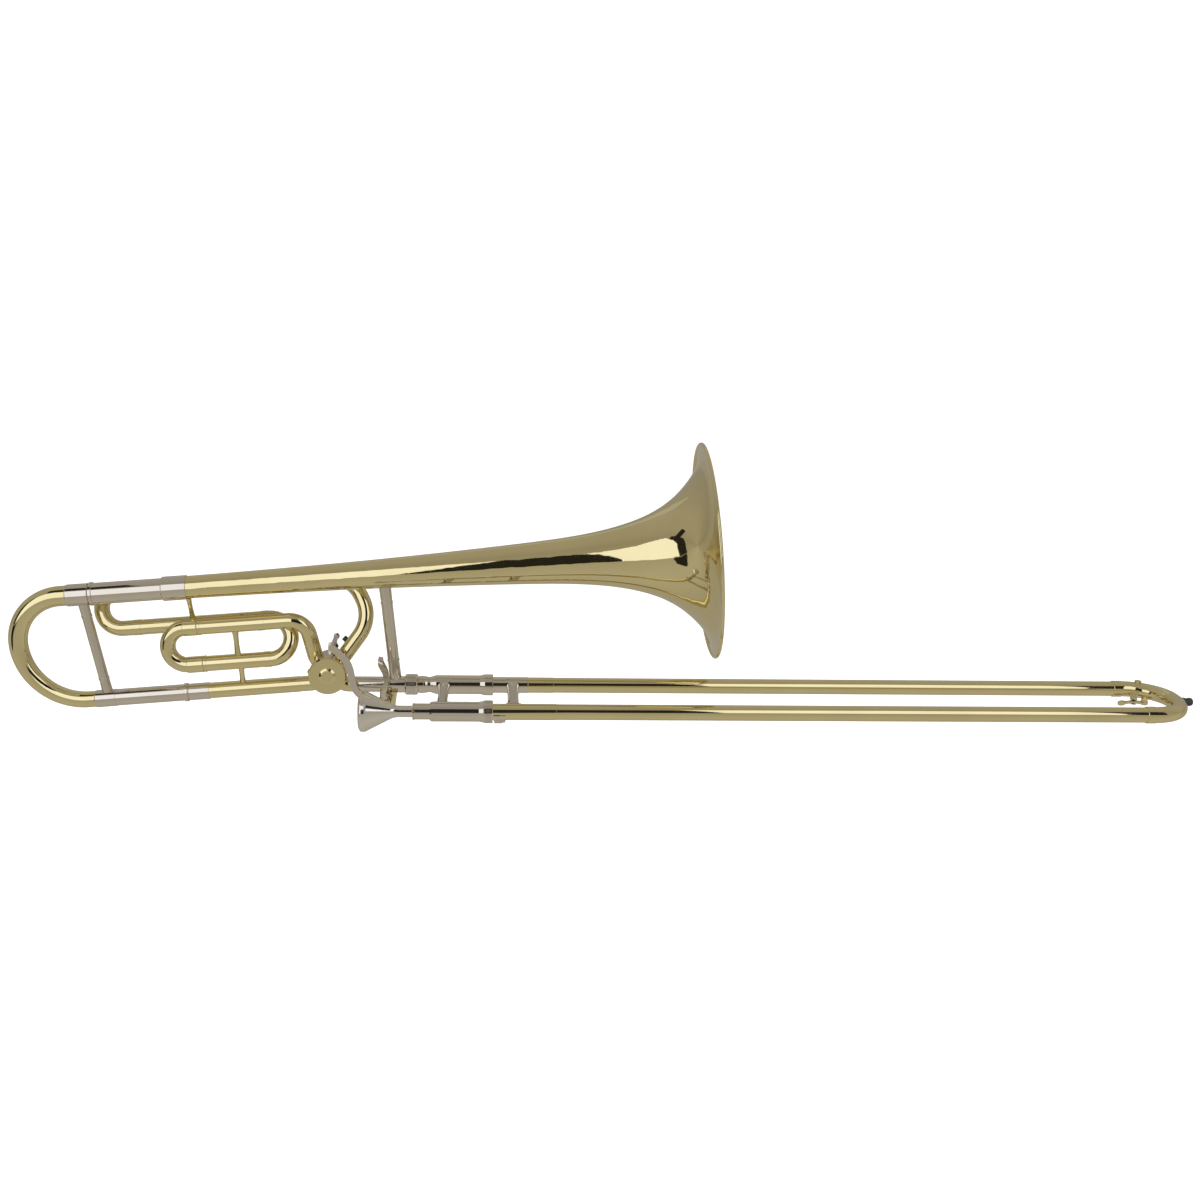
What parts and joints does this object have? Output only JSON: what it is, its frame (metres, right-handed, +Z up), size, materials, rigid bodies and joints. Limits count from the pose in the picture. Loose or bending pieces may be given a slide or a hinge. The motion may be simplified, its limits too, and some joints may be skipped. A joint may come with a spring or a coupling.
{
  "type": "trombone",
  "caption": "Tenor trombone with a rotary valve and thumb lever, hand slide, tuning slides, water key and mouthpiece.",
  "frame": {"origin": "on the neck's axis, at the lock nut's face, where the left hand holds the instrument", "axes": "+X along the hand slide towards its bow, +Z up through the bell, +Y away from the mouthpiece tube"},
  "size_m": [1.1859, 0.216, 0.2752],
  "materials": {
    "brass": "clear lacquer over polished yellow brass",
    "nickel": "polished nickel silver",
    "silver": "polished silver plate",
    "steel": "plain spring steel wire",
    "rubber": "matt black rubber",
    "felt": "cork and felt"
  },
  "bodies": {
    "bell_section": {"bell": "brass", "bell_rim_wire": "steel", "bell_ferrule": "nickel", "tuning_receiver": "nickel", "gooseneck_slide_tube": "nickel", "gooseneck_ferrule": "nickel", "gooseneck_tube": "brass", "neck_tube": "nickel", "neck_receiver": "nickel", "bell_brace": "nickel", "valve_casing": "nickel", "valve_knuckles": "brass", "valve_bearing_plate": "brass", "valve_cap": "brass", "stop_bumper_plate": "brass", "stop_bumpers": "rubber", "lever_bracket": "brass", "lever_spring": "steel", "crook_post": "brass", "f_top_tube": "brass", "f_return_crook": "brass", "f_straight_tubes": "brass", "f_far_crook": "brass", "f_right_crook": "brass", "f_outer_legs": "brass", "f_ferrules": "brass", "wrap_braces": "brass"},
    "tuning_slide": {"main_bow": "brass", "main_bow_ferrules": "nickel", "main_bow_brace": "nickel", "main_upper_slide_tube": "nickel", "main_lower_slide_tube": "nickel"},
    "f_tuning_slide": {"f_tuning_bow": "brass", "f_tuning_ferrules": "brass", "f_tuning_legs": "nickel"},
    "valve_rotor": {"rotor": "brass", "stop_arm": "nickel"},
    "lever": {"thumb_lever": "nickel"},
    "link": {"link_rod": "nickel"},
    "inner_slide": {"slide_tenon": "nickel", "cork_barrel_neck": "nickel", "cork_barrel_mouthpiece": "nickel", "mouthpiece_receiver": "nickel", "inner_slide_brace": "nickel", "inner_slide_tubes": "nickel", "barrel_bumpers": "felt", "leadpipe": "brass"},
    "nut": {"lock_nut": "nickel"},
    "lock_ring": {"slide_lock_ring": "nickel"},
    "outer_slide": {"outer_slide_tubes": "brass", "outer_slide_sleeves": "nickel", "outer_slide_brace": "nickel", "slide_bow": "brass", "slide_bow_ferrules": "brass", "bow_bumper": "rubber", "bow_fittings": "brass"},
    "water_key": {"water_key_lever": "brass", "water_key_pad": "felt", "water_key_spring": "steel"},
    "mouthpiece": {"mouthpiece": "silver"}
  },
  "joints": [
    {"name": "main_tuning_slide", "type": "slide", "parent": "bell_section", "child": "tuning_slide", "axis": [-0.9965, 0, -0.0837], "range_m": [0, 0.045]},
    {"name": "f_tuning_slide", "type": "slide", "parent": "bell_section", "child": "f_tuning_slide", "axis": [-0.9965, 0, -0.0837], "range_m": [0, 0.04]},
    {"name": "rotor_turn", "type": "hinge", "parent": "bell_section", "child": "valve_rotor", "pos_m": [-0.0754, 0, 0.014], "axis": [0, -1, 0], "range_deg": [0, 90]},
    {"name": "lever_press", "type": "hinge", "parent": "bell_section", "child": "lever", "pos_m": [-0.0172, -0.02, -0.0107], "axis": [0, 1, 0], "range_deg": [0, 12.5], "stiffness_Nm_per_rad": 0.25, "springref_deg": -17.19},
    {"name": "link_pivot", "type": "hinge", "parent": "lever", "child": "link", "pos_m": [-0.0703, 0.022, 0.0436], "axis": [0, -1, 0], "range_deg": [0, 12.5]},
    {"name": "slide_section_angle", "type": "hinge", "parent": "bell_section", "child": "inner_slide", "pos_m": [0, 0, 0], "axis": [1, 0, 0], "range_deg": [-12, 12]},
    {"name": "lock_nut_turn", "type": "hinge", "parent": "inner_slide", "child": "nut", "pos_m": [0.005, 0, 0], "axis": [1, 0, 0], "range_deg": [0, 360]},
    {"name": "slide_lock_turn", "type": "hinge", "parent": "inner_slide", "child": "lock_ring", "pos_m": [0.085, -0.085, 0], "axis": [1, 0, 0], "range_deg": [0, 30]},
    {"name": "mouthpiece_pull", "type": "slide", "parent": "inner_slide", "child": "mouthpiece", "axis": [-1, 0, 0], "range_m": [0, 0.035]},
    {"name": "hand_slide", "type": "slide", "parent": "inner_slide", "child": "outer_slide", "axis": [1, 0, 0], "range_m": [0, 0.6]},
    {"name": "water_key_press", "type": "hinge", "parent": "outer_slide", "child": "water_key", "pos_m": [0.75124, -0.01182, -0.00897], "axis": [0.2722, 0.6113, -0.7431], "range_deg": [0, 12], "stiffness_Nm_per_rad": 0.03, "springref_deg": -22.92}
  ],
  "couplings": [
    {"joint": "lever_press", "follows": "rotor_turn", "ratio": 0.13889},
    {"joint": "link_pivot", "follows": "rotor_turn", "ratio": 0.13889}
  ]
}
